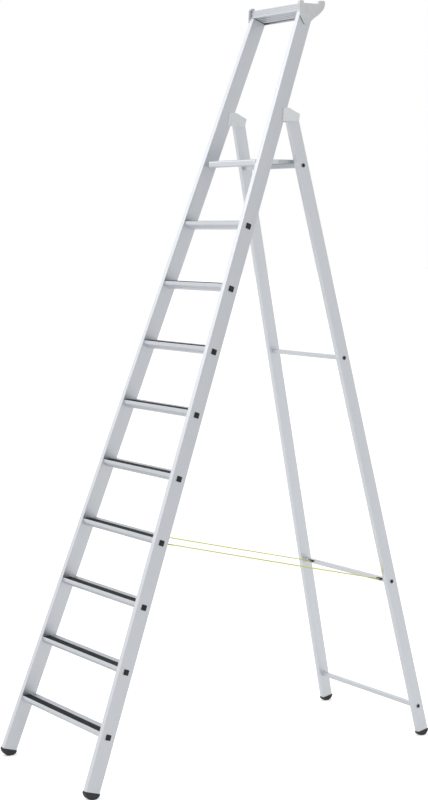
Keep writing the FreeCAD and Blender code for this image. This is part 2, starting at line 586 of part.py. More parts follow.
for k in range(cells):
    a = pf + 25.0 + k * cw + (0.0 if k else 0.0)
    dc.append(prism_x([(a, und + 2.2, 0.8), (a + cw - 2.0, und + 2.2, 0.8), (a + cw - 2.0, pt - 2.8, 0.8),
                       (a, pt - 2.8, 0.8)], -200, 200))
y = pf + 12.0
while y < pr - 8.0:
    dc.append(prism_x([(y, pt + 1), (y, pt - 0.8), (y + 1.6, pt - 0.8), (y + 1.6, pt + 1)], -200, 200))
    y += 4.0
for z in (pt - 9.0, pt - 13.0, pt - 17.0):
    dc.append(prism_x([(pf - 1, z - 0.6), (pf + 0.7, z - 0.5), (pf + 0.7, z + 0.5), (pf - 1, z + 0.6)],
                      -200, 200))
# the end caps reach 9 mm into the nose, where their outer corners are rounded
NOSE_IN = 9.0
for sx in (1, -1):
    xa, xb = sorted((sx * (PLAT_HALF - NOSE_IN), sx * (PLAT_HALF + 5.0)))
    dc.append(box(xa, xb, pf - 5.0, pf + 25.0, pt - 70.0, pt + 5.0))
deck = deck.cut(Part.makeCompound(dc))
pin_hole = cyl_x(PLAT_PIVOT_Y, PLAT_PIVOT_Z, 4.05, -400, 400)
# end caps: plate with a boss inside the nose that bears on the pivot pin
cap_out = [(pf, pt, 7.0), (pf, pt - PLAT_NOSE_H, 5.0), (pf + 25.0, pt - PLAT_NOSE_H, 3.0),
           (pf + 25.0, und, 2.0), (pr - 3.0, und, 1.0), (pr - 3.0, pt - 20.5, 0.6), (pr, pt - 20.5, 0.6),
           (pr, pt, 2.5)]
pcap = prism_x(cap_out, PLAT_HALF - 2.0, PLAT_HALF).cut(box(0, 400, pf - 5, pf + 25.0, pt - 70, pt + 5))
nose = prism_x([(pf, pt, 7.0), (pf, pt - PLAT_NOSE_H, 5.0), (pf + 25.0, pt - PLAT_NOSE_H), (pf + 25.0, pt)],
               PLAT_HALF - NOSE_IN, PLAT_HALF)
front_view = Part.Face(rounded_wire([(0, pt), (PLAT_HALF, pt, 7.0), (PLAT_HALF, pt - PLAT_NOSE_H, 7.0),
                                     (0, pt - PLAT_NOSE_H)], lambda a, b: Vec(a, pf - 10, b)))
top_view = Part.Face(rounded_wire([(0, pf), (PLAT_HALF, pf, 7.0), (PLAT_HALF, pf + 60), (0, pf + 60)],
                                  lambda a, b: Vec(a, b, pt - 90)))
nose = nose.common(front_view.extrude(Vec(0, 90, 0))).common(top_view.extrude(Vec(0, 0, 120)))
pcap = pcap.fuse(nose)
boss = prism_x([(pf + 2.6, pt - 2.6, 4.4), (pf + 2.6, pt - PLAT_NOSE_H + 2.4, 2.8),
                (pf + 22.6, pt - PLAT_NOSE_H + 2.4, 1.0), (pf + 22.6, pt - 2.6, 1.0)],
               PLAT_HALF - 26.0, PLAT_HALF - 1.9)
pcap = pcap.fuse(boss).cut(pin_hole)
# side hook plates riveted to the cap, from mid depth to the rear lip
hook = prism_x([(1000.0, pt - 1.2, 2.0), (1000.0, und - 1.2, 2.0), (1066.0, und - 1.2, 1.0), (1072.0, und + 0.3, 0.5),
                (pr - 3.0, und + 0.3, 0.5), (pr - 3.0, pt - 20.5, 0.6), (pr - 0.1, pt - 20.5, 0.6),
                (pr - 0.1, pt - 1.2, 2.0)], PLAT_HALF, PLAT_HALF + 1.6)
hk_rivets = []
hk_holes = []
for yy in (1006.0, 1058.0):
    hk_holes.append(cyl_x(yy, und + 3.4, 1.6, PLAT_HALF - 3.0, PLAT_HALF + 1.6))
    head = cyl_x(yy, und + 3.4, 2.6, PLAT_HALF + 1.6, PLAT_HALF + 2.4)
    r = one(cyl_x(yy, und + 3.4, 1.6, PLAT_HALF - 1.9, PLAT_HALF + 1.7).fuse(head))
    hk_rivets += [r, mirrored(r)]
hook = one(hook.cut(hk_holes))
pcap = one(pcap.cut(hk_holes))
nodes["platform_deck"] = one(deck)
nodes["platform_end_cap_right"] = pcap
nodes["platform_end_cap_left"] = mirrored(pcap)
nodes["platform_hook_right"] = hook
nodes["platform_hook_left"] = mirrored(hook)
nodes["platform_hook_rivets"] = Part.makeCompound(hk_rivets)
# pivot pins with a collar between cap and stile, fixed in the stile's inner wall
w_p = (PLAT_PIVOT_Z + 25.5 * S) / (C * math.cos(AF))
inner_face = place(box(-1500, -STILE_T + STILE_WALL, -60, 160, w_p - 120, w_p + 120), STILE)
to_face = place(box(-1500, -STILE_T, -60, 160, w_p - 120, w_p + 120), STILE)
ppin = cyl_x(PLAT_PIVOT_Y, PLAT_PIVOT_Z, 4.0, PLAT_HALF - 22.0, 300).common(inner_face)
collar = cyl_x(PLAT_PIVOT_Y, PLAT_PIVOT_Z, 8.0, PLAT_HALF + 0.5, 300).common(to_face)
ppin = one(ppin.fuse(collar))
nodes["platform_pins"] = Part.makeCompound([ppin, mirrored(ppin)])
stile = stile.cut(cyl_x(PLAT_PIVOT_Y, PLAT_PIVOT_Z, 4.0, 100, STILE_X0 - STILE_K * PLAT_PIVOT_Z - 10.0))

stile = one(stile)
nodes["stile_right"] = stile
nodes["stile_left"] = mirrored(stile)

# ------------------------------------------------------------ spreader straps
# Webbing from a bracket behind tread 4 to a clip round the second brace.
z4 = TREAD_Z0 + 3 * TREAD_PITCH
y4 = z4 * math.tan(TH)
SA = (y4 + 46.0, z4 - 27.0)                     # front end of the webbing
zb = BRACE_Z[1]
yb = LEG_Y0 - zb * math.tan(TR) + LEG_D / 2 / CR
SB = (yb - BRACE_DEPTH[1] / 2 - 4.0, zb + 1.5)  # rear end
L = math.hypot(SB[0] - SA[0], SB[1] - SA[1])
d = ((SB[0] - SA[0]) / L, (SB[1] - SA[1]) / L)
nrm = (-d[1], d[0])


def along(t, h):
    return (SA[0] + d[0] * t + nrm[0] * h, SA[1] + d[1] * t + nrm[1] * h)


STRAP_LEN = L
strap = prism_x([along(0, -STRAP_T / 2), along(L, -STRAP_T / 2), along(L, STRAP_T / 2), along(0, STRAP_T / 2)],
                STRAP_X - STRAP_W / 2, STRAP_X + STRAP_W / 2)
nodes["strap_right"] = strap
nodes["strap_left"] = mirrored(strap)

# front bracket: a tab riveted to the back of the tread's chamber, with a bar
# across its end that the webbing is looped round
z4c = z4 - BOX_BELOW
y4c = z4c * math.tan(TH) + BOX_BACK / C


def loc4(v, w):
    return (y4c + v * C + w * S, z4c - v * S + w * C)


hw = STRAP_W / 2
tabpts = [loc4(BOX_HALF, -8.5), loc4(BOX_HALF, 9.0), loc4(BOX_HALF + 2.0, 9.0), loc4(BOX_HALF + 2.0, -4.0),
          along(-1.5, 3.6), along(-1.5, 0.0 - 0.0), along(-1.5, -3.4), loc4(BOX_HALF + 0.0, -8.5)]
tab = prism_x([tabpts[0], tabpts[1], tabpts[2], tabpts[3], along(-0.0, 3.8), along(0.0, -3.8)],
              STRAP_X - hw - 4.0, STRAP_X + hw + 4.0)
slot = prism_x([along(-60, 1.4), along(60, 1.4), along(60, -1.4), along(-60, -1.4)],
               STRAP_X - hw - 0.6, STRAP_X + hw + 0.6)
tab = tab.cut(slot.common(prism_x([loc4(BOX_HALF + 2.0, -60), loc4(BOX_HALF + 2.0, 60), along(60, 60), along(60, -60)],
                                  STRAP_X - hw - 2, STRAP_X + hw + 2)))
tab = one(tab)
nodes["strap_brackets"] = Part.makeCompound([tab, mirrored(tab)])

# rear clip: a low plastic anchor on the front face of the brace, with a pocket
# that holds the end of the webbing
fb = yb - BRACE_DEPTH[1] / 2
clip = prism_x([(fb - 8.0, zb - 1.0, 1.4), (fb - 5.5, zb - 2.4, 1.8), (fb, zb - 2.4), (fb, zb + 5.6),
                (fb - 5.5, zb + 6.0, 1.8), (fb - 8.0, zb + 5.0, 1.4)],
               STRAP_X - hw - 1.8, STRAP_X + hw + 1.8)
pocket = prism_x([along(L - 14.0, -STRAP_T / 2 - 0.05), along(L, -STRAP_T / 2 - 0.05),
                  along(L, STRAP_T / 2 + 0.05), along(L - 14.0, STRAP_T / 2 + 0.05)],
                 STRAP_X - hw - 0.1, STRAP_X + hw + 0.1)
clip = one(clip.cut(pocket))
nodes["strap_clip_right"] = clip
nodes["strap_clip_left"] = mirrored(clip)

# ------------------------------------------------------------ move and write
ymin = min(s.optimalBoundingBox(False).YMin for s in (front_foot, rear_foot, stile))
ymax = max(s.optimalBoundingBox(False).YMax for s in (front_foot, rear_foot, leg))
Y_CENTRE = (ymin + ymax) / 2

os.makedirs("parts", exist_ok=True)
total = None
for name in sorted(nodes):
    s = nodes[name].copy()
    s.translate(Vec(0, -Y_CENTRE, 0))
    if not s.isValid():
        print("INVALID", name)
    s.exportStep("parts/%s.step" % name)
    bb = s.optimalBoundingBox(False)
    total = bb if total is None else total.united(bb)

for name in ("front_foot_right", "rear_foot_right"):
    for f in nodes[name].Faces:
        if abs(f.BoundBox.ZMax) < 1e-4 and f.BoundBox.ZLength < 1e-4:
            c = f.CenterOfMass
            print("flat", name, "x %.2f y %.2f area %.1f" % (c.x, c.y - Y_CENTRE, f.Area))
print("nodes", len(nodes), "Y_CENTRE %.3f" % Y_CENTRE)
print("box X %.1f..%.1f Y %.1f..%.1f Z %.1f..%.1f" % (total.XMin, total.XMax, total.YMin, total.YMax,
                                                    total.ZMin, total.ZMax))
print("hinge pos y %.4f z %.4f" % (HINGE_Y - Y_CENTRE, HINGE_Z), "x mid %.3f" % MID_X)
print("platform pivot y %.4f z %.4f" % (PLAT_PIVOT_Y - Y_CENTRE, PLAT_PIVOT_Z))
print("fold range %.3f" % (STILE_LEAN + LEG_LEAN), "tilt %.3f" % (90 - STILE_LEAN))
print("strap length %.1f" % STRAP_LEN, "front end", SA, "rear end", SB)
print("hinge v in leg %.3f (half depth %.1f) w %.2f" % (HINGE_V, LEG_D / 2, HINGE_W))
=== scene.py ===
import json
import math

import bmesh
import bpy
from mathutils import Matrix, Vector


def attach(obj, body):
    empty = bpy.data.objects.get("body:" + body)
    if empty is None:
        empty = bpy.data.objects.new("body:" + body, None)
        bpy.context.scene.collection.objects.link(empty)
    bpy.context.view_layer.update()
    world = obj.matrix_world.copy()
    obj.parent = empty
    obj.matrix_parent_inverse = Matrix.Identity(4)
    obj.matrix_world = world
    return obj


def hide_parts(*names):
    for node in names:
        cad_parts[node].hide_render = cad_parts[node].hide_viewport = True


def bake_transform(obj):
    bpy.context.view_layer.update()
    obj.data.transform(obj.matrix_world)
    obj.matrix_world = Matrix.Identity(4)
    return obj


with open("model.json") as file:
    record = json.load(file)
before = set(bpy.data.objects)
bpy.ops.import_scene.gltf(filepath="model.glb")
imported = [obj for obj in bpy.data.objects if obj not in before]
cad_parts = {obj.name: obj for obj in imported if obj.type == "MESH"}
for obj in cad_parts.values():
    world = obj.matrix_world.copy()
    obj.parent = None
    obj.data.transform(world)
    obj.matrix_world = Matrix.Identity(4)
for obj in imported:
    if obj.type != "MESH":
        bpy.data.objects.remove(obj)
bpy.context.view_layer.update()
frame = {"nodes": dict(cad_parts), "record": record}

NODES = frame["nodes"]
BODY = {}
for body, names in frame["record"]["behaviour"]["bodies"].items():
    for n in names:
        BODY[n] = body

scene = bpy.context.scene
scene.view_settings.view_transform = "Standard"
scene.view_settings.look = "None"

# ------------------------------------------------------------ camera
cam_data = bpy.data.cameras.new("camera")
cam_data.sensor_width = 36.0
cam_data.lens = 81.02
cam_data.shift_y = 0.1775
cam_data.clip_start = 0.1
cam_data.clip_end = 200.0
cam = bpy.data.objects.new("camera", cam_data)
cam.location = (5.9978, -3.9245, 2.1098)
cam.rotation_euler = (math.radians(90.0 - 9.98), 0.0, math.radians(56.97))
scene.collection.objects.link(cam)
scene.camera = cam

# ------------------------------------------------------------ light
world = bpy.data.worlds.new("studio")
scene.world = world
world.use_nodes = True
wt = world.node_tree
wt.nodes.clear()
tc = wt.nodes.new("ShaderNodeTexCoord")
dirn = wt.nodes.new("ShaderNodeVectorMath")
dirn.operation = "NORMALIZE"
wt.links.new(tc.outputs["Generated"], dirn.inputs[0])
dot = wt.nodes.new("ShaderNodeVectorMath")
dot.operation = "DOT_PRODUCT"
wt.links.new(dirn.outputs[0], dot.inputs[0])
dot.inputs[1].default_value = Vector((-0.86, -0.50, 0.08)).normalized()
mr = wt.nodes.new("ShaderNodeMapRange")
mr.interpolation_type = "SMOOTHSTEP"
mr.inputs["From Min"].default_value = -1.0
mr.inputs["From Max"].default_value = 1.0
mr.inputs["To Min"].default_value = 0.70
mr.inputs["To Max"].default_value = 1.02
wt.links.new(dot.outputs["Value"], mr.inputs["Value"])
lit = wt.nodes.new("ShaderNodeBackground")
lit.inputs["Color"].default_value = (1.0, 1.0, 1.0, 1.0)
wt.links.new(mr.outputs["Result"], lit.inputs["Strength"])
seen = wt.nodes.new("ShaderNodeBackground")
seen.inputs["Color"].default_value = (1.0, 1.0, 1.0, 1.0)
seen.inputs["Strength"].default_value = 1.0
path = wt.nodes.new("ShaderNodeLightPath")
mixw = wt.nodes.new("ShaderNodeMixShader")
wt.links.new(path.outputs["Is Camera Ray"], mixw.inputs["Fac"])
wt.links.new(lit.outputs[0], mixw.inputs[1])
wt.links.new(seen.outputs[0], mixw.inputs[2])
wout = wt.nodes.new("ShaderNodeOutputWorld")
wt.links.new(mixw.outputs[0], wout.inputs["Surface"])


def softbox(name, loc, aim, size, power):
    d = bpy.data.lights.new(name, "AREA")
    d.shape = "RECTANGLE"
    d.size, d.size_y = size
    d.energy = power
    o = bpy.data.objects.new(name, d)
    o.location = loc
    o.rotation_euler = (Vector(aim) - Vector(loc)).to_track_quat("-Z", "Y").to_euler()
    scene.collection.objects.link(o)
    o.visible_camera = False
    return o


softbox("key", (-3.6, -4.6, 5.6), (0.0, 0.0, 1.3), (3.6, 3.6), 60.0)
softbox("top", (0.4, -0.6, 6.4), (0.0, 0.0, 1.0), (4.5, 4.5), 30.0)

# ------------------------------------------------------------ node helpers


def new_mat(name):
    m = bpy.data.materials.new(name)
    m.use_nodes = True
    nt = m.node_tree
    nt.nodes.clear()
    out = nt.nodes.new("ShaderNodeOutputMaterial")
    bsdf = nt.nodes.new("ShaderNodeBsdfPrincipled")
    nt.links.new(bsdf.outputs[0], out.inputs["Surface"])
    return m, nt, bsdf


def math_node(nt, op, a, b=None, clamp=False):
    n = nt.nodes.new("ShaderNodeMath")
    n.operation = op
    n.use_clamp = clamp
    for i, v in enumerate((a, b)):
        if v is None:
            continue
        if isinstance(v, (int, float)):
            n.inputs[i].default_value = v
        else:
            nt.links.new(v, n.inputs[i])
    return n.outputs[0]


def remap(nt, v, a0, a1, b0, b1, smooth=False):
    n = nt.nodes.new("ShaderNodeMapRange")
    if smooth:
        n.interpolation_type = "SMOOTHSTEP"
    n.inputs["From Min"].default_value = a0
    n.inputs["From Max"].default_value = a1
    n.inputs["To Min"].default_value = b0
    n.inputs["To Max"].default_value = b1
    nt.links.new(v, n.inputs["Value"])
    return n.outputs[0]


def local_coords(nt, axes, scales):
    """(dot(p, a) * s ...) for three axes: object coordinates turned to a piece's own directions."""
    tc = nt.nodes.new("ShaderNodeTexCoord")
    comb = nt.nodes.new("ShaderNodeCombineXYZ")
    for i in range(3):
        d = nt.nodes.new("ShaderNodeVectorMath")
        d.operation = "DOT_PRODUCT"
        nt.links.new(tc.outputs["Object"], d.inputs[0])
        d.inputs[1].default_value = Vector(axes[i]) * scales[i]
        nt.links.new(d.outputs["Value"], comb.inputs[i])
    return comb.outputs[0]


def noise(nt, vec, scale=1.0, detail=2.0, rough=0.5, w=None):
    n = nt.nodes.new("ShaderNodeTexNoise")
    if w is not None:
        n.noise_dimensions = "4D"
        n.inputs["W"].default_value = w
    n.inputs["Scale"].default_value = scale
    n.inputs["Detail"].default_value = detail
    n.inputs["Roughness"].default_value = rough
    if vec is not None:
        nt.links.new(vec, n.inputs["Vector"])
    return n.outputs["Fac"]


def ramp_color(nt, fac, stops):
    n = nt.nodes.new("ShaderNodeValToRGB")
    el = n.color_ramp.elements
    while len(el) > 1:
        el.remove(el[-1])
    el[0].position, el[0].color = stops[0][0], tuple(stops[0][1]) + (1.0,)
    for p, c in stops[1:]:
        e = el.new(p)
        e.color = tuple(c) + (1.0,)
    nt.links.new(fac, n.inputs["Fac"])
    return n.outputs["Color"]


def bump(nt, height, strength, distance, normal=None):
    n = nt.nodes.new("ShaderNodeBump")
    n.inputs["Strength"].default_value = strength
    n.inputs["Distance"].default_value = distance
    nt.links.new(height, n.inputs["Height"])
    if normal is not None:
        nt.links.new(normal, n.inputs["Normal"])
    return n.outputs["Normal"]


TH = math.radians(20.52)
TR = math.radians(13.21)
AF = math.atan(0.0630 * math.cos(TH))
AR = math.atan(0.06059 * math.cos(TR))


def post_axes(lean, taper, side):
    axis = Vector((0, math.sin(lean), math.cos(lean)))
    rear = Vector((0, math.cos(lean), -math.sin(lean)))
    out = Vector((math.cos(taper), math.sin(taper) * axis.y, math.sin(taper) * axis.z))
    up = Vector((-math.sin(taper), math.cos(taper) * axis.y, math.cos(taper) * axis.z))
    if side < 0:
        out.x, up.x = -out.x, -up.x
    return out, rear, up


# ------------------------------------------------------------ materials


def extrusion(name, axes, tone, seed, rough=0.40):
    """Satin natural aluminium extrusion; axes[2] runs along the die lines."""
    m, nt, b = new_mat(name)
    fine = noise(nt, local_coords(nt, axes, (1500.0, 1500.0, 2.2)), 1.0, 3.0, 0.6, seed)
    lines = noise(nt, local_coords(nt, axes, (420.0, 420.0, 0.8)), 1.0, 2.0, 0.5, seed + 3.7)
    cloud = noise(nt, local_coords(nt, axes, (22.0, 22.0, 3.0)), 1.0, 3.0, 0.55, seed + 9.1)
    mixv = math_node(nt, "ADD", math_node(nt, "MULTIPLY", fine, 0.35), math_node(nt, "MULTIPLY", lines, 0.40))
    mixv = math_node(nt, "ADD", mixv, math_node(nt, "MULTIPLY", cloud, 0.25))
    r, g, bl = tone
    lo, hi = 0.955, 1.04
    col = ramp_color(nt, mixv, ((0.30, (r * lo, g * lo, bl * lo)), (0.70, (r * hi, g * hi, bl * hi))))
    nt.links.new(col, b.inputs["Base Color"])
    nt.links.new(remap(nt, mixv, 0.3, 0.7, rough - 0.05, rough + 0.06), b.inputs["Roughness"])
    b.inputs["Metallic"].default_value = 1.0
    h = math_node(nt, "ADD", math_node(nt, "MULTIPLY", fine, 0.6), math_node(nt, "MULTIPLY", lines, 0.4))
    nt.links.new(bump(nt, h, 0.30, 0.00006), b.inputs["Normal"])
    return m


def cast_metal(name, tone, seed, rough=0.58):
    """Matt cast aluminium: fine grain with soft unevenness."""
    m, nt, b = new_mat(name)
    ax = ((1, 0, 0), (0, 1, 0), (0, 0, 1))
    grain = noise(nt, local_coords(nt, ax, (1400.0,) * 3), 1.0, 3.0, 0.65, seed)
    soft = noise(nt, local_coords(nt, ax, (60.0,) * 3), 1.0, 3.0, 0.5, seed + 2.0)
    mixv = math_node(nt, "ADD", math_node(nt, "MULTIPLY", grain, 0.5), math_node(nt, "MULTIPLY", soft, 0.5))
    r, g, bl = tone
    col = ramp_color(nt, mixv, ((0.32, (r * 0.93, g * 0.93, bl * 0.93)), (0.68, (r * 1.04, g * 1.04, bl * 1.04))))
    nt.links.new(col, b.inputs["Base Color"])
    nt.links.new(remap(nt, grain, 0.3, 0.7, rough - 0.07, rough + 0.08), b.inputs["Roughness"])
    b.inputs["Metallic"].default_value = 0.85
    n1 = bump(nt, soft, 0.30, 0.0008)
    nt.links.new(bump(nt, grain, 0.60, 0.00026, n1), b.inputs["Normal"])
    return m


def moulded(name, tone, seed, rough=0.62, grain_scale=1700.0, grain_depth=0.00016, spec=0.45):
    """Moulded black plastic or rubber with a fine spark-eroded grain and faint scuffing."""
    m, nt, b = new_mat(name)
    ax = ((1, 0, 0), (0, 1, 0), (0, 0, 1))
    grain = noise(nt, local_coords(nt, ax, (grain_scale,) * 3), 1.0, 2.5, 0.6, seed)
    soft = noise(nt, local_coords(nt, ax, (45.0,) * 3), 1.0, 4.0, 0.6, seed + 5.0)
    r, g, bl = tone
    col = ramp_color(nt, soft, ((0.35, (r * 0.85, g * 0.85, bl * 0.85)), (0.72, (r * 1.3, g * 1.3, bl * 1.3))))
    nt.links.new(col, b.inputs["Base Color"])
    rr = math_node(nt, "ADD", math_node(nt, "MULTIPLY", soft, 0.18), rough - 0.09)
    nt.links.new(rr, b.inputs["Roughness"])
    b.inputs["Specular IOR Level"].default_value = spec
    nt.links.new(bump(nt, grain, 0.5, grain_depth), b.inputs["Normal"])
    return m


def grit_insert(name, seed):
    """Black anti-slip profile: gritty along the ribs."""
    m, nt, b = new_mat(name)
    ax = ((1, 0, 0), (0, 1, 0), (0, 0, 1))
    grit = noise(nt, local_coords(nt, ax, (900.0,) * 3), 1.0, 4.0, 0.7, seed)
    streak = noise(nt, local_coords(nt, ax, (5.0, 260.0, 260.0)), 1.0, 2.0, 0.5, seed + 4.0)
    mixv = math_node(nt, "ADD", math_node(nt, "MULTIPLY", grit, 0.6), math_node(nt, "MULTIPLY", streak, 0.4))
    col = ramp_color(nt, mixv, ((0.32, (0.014, 0.015, 0.017)), (0.55, (0.023, 0.024, 0.026)),
                                (0.72, (0.044, 0.045, 0.047))))
    nt.links.new(col, b.inputs["Base Color"])
    nt.links.new(remap(nt, grit, 0.3, 0.7, 0.60, 0.88), b.inputs["Roughness"])
    b.inputs["Specular IOR Level"].default_value = 0.25
    nt.links.new(bump(nt, grit, 0.6, 0.00025), b.inputs["Normal"])
    return m


def turned_steel(name, tone, seed, rough=0.32):
    """Zinc-plated pin: faint circular turning marks about X on its end faces."""
    m, nt, b = new_mat(name)
    ax = ((1, 0, 0), (0, 1, 0), (0, 0, 1))
    soft = noise(nt, local_coords(nt, ax, (240.0,) * 3), 1.0, 3.0, 0.6, seed)
    fine = noise(nt, local_coords(nt, ax, (2600.0, 1100.0, 1100.0)), 1.0, 2.0, 0.5, seed + 1.0)
    r, g, bl = tone
    col = ramp_color(nt, soft, ((0.35, (r * 0.9, g * 0.9, bl * 0.92)), (0.7, (r * 1.05, g * 1.05, bl * 1.03))))
    nt.links.new(col, b.inputs["Base Color"])
    nt.links.new(remap(nt, fine, 0.3, 0.7, rough - 0.06, rough + 0.1), b.inputs["Roughness"])
    b.inputs["Metallic"].default_value = 1.0
    nt.links.new(bump(nt, fine, 0.3, 0.00005), b.inputs["Normal"])
    return m


def webbing_mat(name):
    """Plain-woven polyester webbing, laid out by UV in metres (u across, v along)."""
    m, nt, b = new_mat(name)
    uv = nt.nodes.new("ShaderNodeUVMap")
    uv.uv_map = "UVMap"
    sep = nt.nodes.new("ShaderNodeSeparateXYZ")
    nt.links.new(uv.outputs["UV"], sep.inputs[0])
    u, v = sep.outputs[0], sep.outputs[1]
    # warp yarns every 1.25 mm, weft picks every 1.0 mm; over and under in a 2/2 twill
    su = math_node(nt, "MULTIPLY", u, 2 * math.pi / 0.00125)
    sv = math_node(nt, "MULTIPLY", v, 2 * math.pi / 0.0010)
    warp = math_node(nt, "ABSOLUTE", math_node(nt, "SINE", math_node(nt, "MULTIPLY", su, 0.5)))
    weft = math_node(nt, "ABSOLUTE", math_node(nt, "SINE", math_node(nt, "MULTIPLY", sv, 0.5)))
    twill = math_node(nt, "SINE", math_node(nt, "ADD", math_node(nt, "MULTIPLY", su, 0.25),
                                            math_node(nt, "MULTIPLY", sv, 0.25)))
    twill = remap(nt, twill, -1.0, 1.0, 0.0, 1.0)
    h = math_node(nt, "MULTIPLY", warp, math_node(nt, "ADD", math_node(nt, "MULTIPLY", twill, 0.5), 0.5))
    h = math_node(nt, "ADD", math_node(nt, "MULTIPLY", h, 0.75), math_node(nt, "MULTIPLY", weft, 0.25))
    comb = nt.nodes.new("ShaderNodeCombineXYZ")
    nt.links.new(math_node(nt, "MULTIPLY", u, 900.0), comb.inputs[0])
    nt.links.new(math_node(nt, "MULTIPLY", v, 40.0), comb.inputs[1])
    fibre = noise(nt, comb.outputs[0], 1.0, 3.0, 0.6, 2.2)
    # colour follows the weave height: the low ground between the yarns is painted darker (painted shade in the
    # weave's hollows), over a streaky fibre tone
    tone = math_node(nt, "ADD", math_node(nt, "MULTIPLY", h, 0.72), math_node(nt, "MULTIPLY", fibre, 0.28))
    col = ramp_color(nt, tone, ((0.10, (0.36, 0.37, 0.012)), (0.45, (0.64, 0.66, 0.03)),
                                (0.85, (0.78, 0.80, 0.09))))
    nt.links.new(col, b.inputs["Base Color"])
    b.inputs["Roughness"].default_value = 0.78
    b.inputs["Sheen Weight"].default_value = 0.25
    b.inputs["Sheen Roughness"].default_value = 0.4
    nt.links.new(bump(nt, h, 0.8, 0.0003), b.inputs["Normal"])
    return m


def thread_mat(name):
    m, nt, b = new_mat(name)
    ax = ((1, 0, 0), (0, 1, 0), (0, 0, 1))
    f = noise(nt, local_coords(nt, ax, (1800.0,) * 3), 1.0, 2.0, 0.5, 6.0)
    nt.links.new(ramp_color(nt, f, ((0.3, (0.66, 0.64, 0.16)), (0.7, (0.88, 0.87, 0.36)))), b.inputs["Base Color"])
    b.inputs["Roughness"].default_value = 0.6
    nt.links.new(bump(nt, f, 0.5, 0.0002), b.inputs["Normal"])
    return m


ALU = (0.685, 0.71, 0.745)
ALU_LEG = (0.74, 0.765, 0.80)
X_AXES = ((0, 1, 0), (0, 0, 1), (1, 0, 0))
mats = {}
for side, tag in ((1, "right"), (-1, "left")):
    mats["stile_" + tag] = extrusion("aluminium_stile_" + tag, post_axes(TH, AF, side), ALU, 1.0 + side)
    mats["rear_leg_" + tag] = extrusion("aluminium_leg_" + tag, post_axes(-TR, AR, side), ALU_LEG, 5.0 + side)
tread_mats = [extrusion("aluminium_tread_%d" % k, X_AXES, ALU, 11.0 + 2.3 * k, 0.42) for k in range(3)]
for i in range(1, 10):
    mats["tread_%d" % i] = tread_mats[i % 3]
brace = extrusion("aluminium_brace", X_AXES, ALU, 21.0, 0.38)
for n in ("lower", "strap", "middle", "platform"):
    mats["rear_brace_" + n] = brace
mats["platform_deck"] = extrusion("aluminium_platform", X_AXES, ALU, 27.0, 0.42)
mats["tool_tray"] = extrusion("aluminium_tray", X_AXES, (0.59, 0.612, 0.645), 31.0, 0.36)
cast = cast_metal("cast_aluminium", (0.82, 0.845, 0.855), 3.0)
cast_cap = cast_metal("cast_end_cap", (0.70, 0.715, 0.72), 8.0, 0.62)
sheet = extrusion("sheet_aluminium", X_AXES, (0.62, 0.63, 0.645), 41.0, 0.46)
steel = turned_steel("zinc_steel", (0.62, 0.62, 0.63), 2.0)
rivet = turned_steel("rivet_aluminium", (0.50, 0.51, 0.53), 7.0, 0.34)
grit = grit_insert("anti_slip_insert", 1.0)
rubber = moulded("foot_rubber", (0.038, 0.0385, 0.041), 4.0, 0.68, 1100.0, 0.00022, 0.38)
plastic = moulded("black_plastic", (0.018, 0.018, 0.021), 9.0, 0.55, 1700.0, 0.00016, 0.34)
nylon = moulded("bush_nylon", (0.66, 0.66, 0.62), 13.0, 0.45)
webbing = webbing_mat("yellow_webbing")
thread = thread_mat("stitch_thread")

for n in NODES:
    if n in mats:
        continue
    if n.startswith("tread_strip"):
        mats[n] = grit
    elif n.startswith("tray_end_cap"):
        mats[n] = cast_cap
    elif n.startswith(("hinge_bracket", "platform_end_cap")):
        mats[n] = cast
    elif n.startswith(("hinge_pin", "hinge_rivets")):
        mats[n] = cast
    elif n.startswith(("platform_hook_rivets", "platform_pins")):
        mats[n] = steel
    elif n.startswith(("platform_hook", "strap_brackets")):
        mats[n] = sheet
    elif n.startswith("brace_rivets"):
        mats[n] = rivet
    elif n.startswith(("front_foot", "rear_foot")):
        mats[n] = rubber
    elif n.startswith(("tread_end_plugs", "brace_end_plugs", "strap_clip")):
        mats[n] = plastic
    elif n.startswith("hinge_bushes"):
        mats[n] = nylon
    else:
        mats[n] = webbing

for n, o in NODES.items():
    if not o.data.materials:
        o.data.materials.append(mats[n])
    for s in o.material_slots:
        s.link = "DATA"
        s.material = mats[n]

# ------------------------------------------------------------ mesh helpers


def to_object(name, bm, material, smooth=True, angle=32.0):
    me = bpy.data.meshes.new(name)
    bm.to_mesh(me)
    bm.free()
    o = bpy.data.objects.new(name, me)
    me.materials.append(material)
    scene.collection.objects.link(o)
    if smooth:
        for p in me.polygons:
            p.use_smooth = True
        me.set_sharp_from_angle(angle=math.radians(angle))
    return o


def eased(node, width, segments=2, angle=33.0, limit=1.0):
    """The CAD shape with its sharp edges broken by a small rounding."""
    src = NODES[node]
    bm = bmesh.new()
    bm.from_mesh(src.data)
    bmesh.ops.remove_doubles(bm, verts=bm.verts, dist=1e-6)
    bmesh.ops.dissolve_limit(bm, angle_limit=math.radians(limit), verts=bm.verts, edges=bm.edges,
                             delimit={"NORMAL"})
    o = to_object(node + "_eased", bm, mats[node], False)
    mod = o.modifiers.new("bevel", "BEVEL")
    mod.limit_method = "ANGLE"
    mod.angle_limit = math.radians(angle)
    mod.width = width
    mod.segments = segments
    mod.use_clamp_overlap = True
    mod.harden_normals = False
    dg = bpy.context.evaluated_depsgraph_get()
    me = bpy.data.meshes.new_from_object(o.evaluated_get(dg))
    o.modifiers.clear()
    old = o.data
    o.data = me
    bpy.data.meshes.remove(old)
    for p in me.polygons:
        p.use_smooth = True
    me.set_sharp_from_angle(angle=math.radians(30.0))
    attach(o, BODY[node])
    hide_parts(node)
    return o


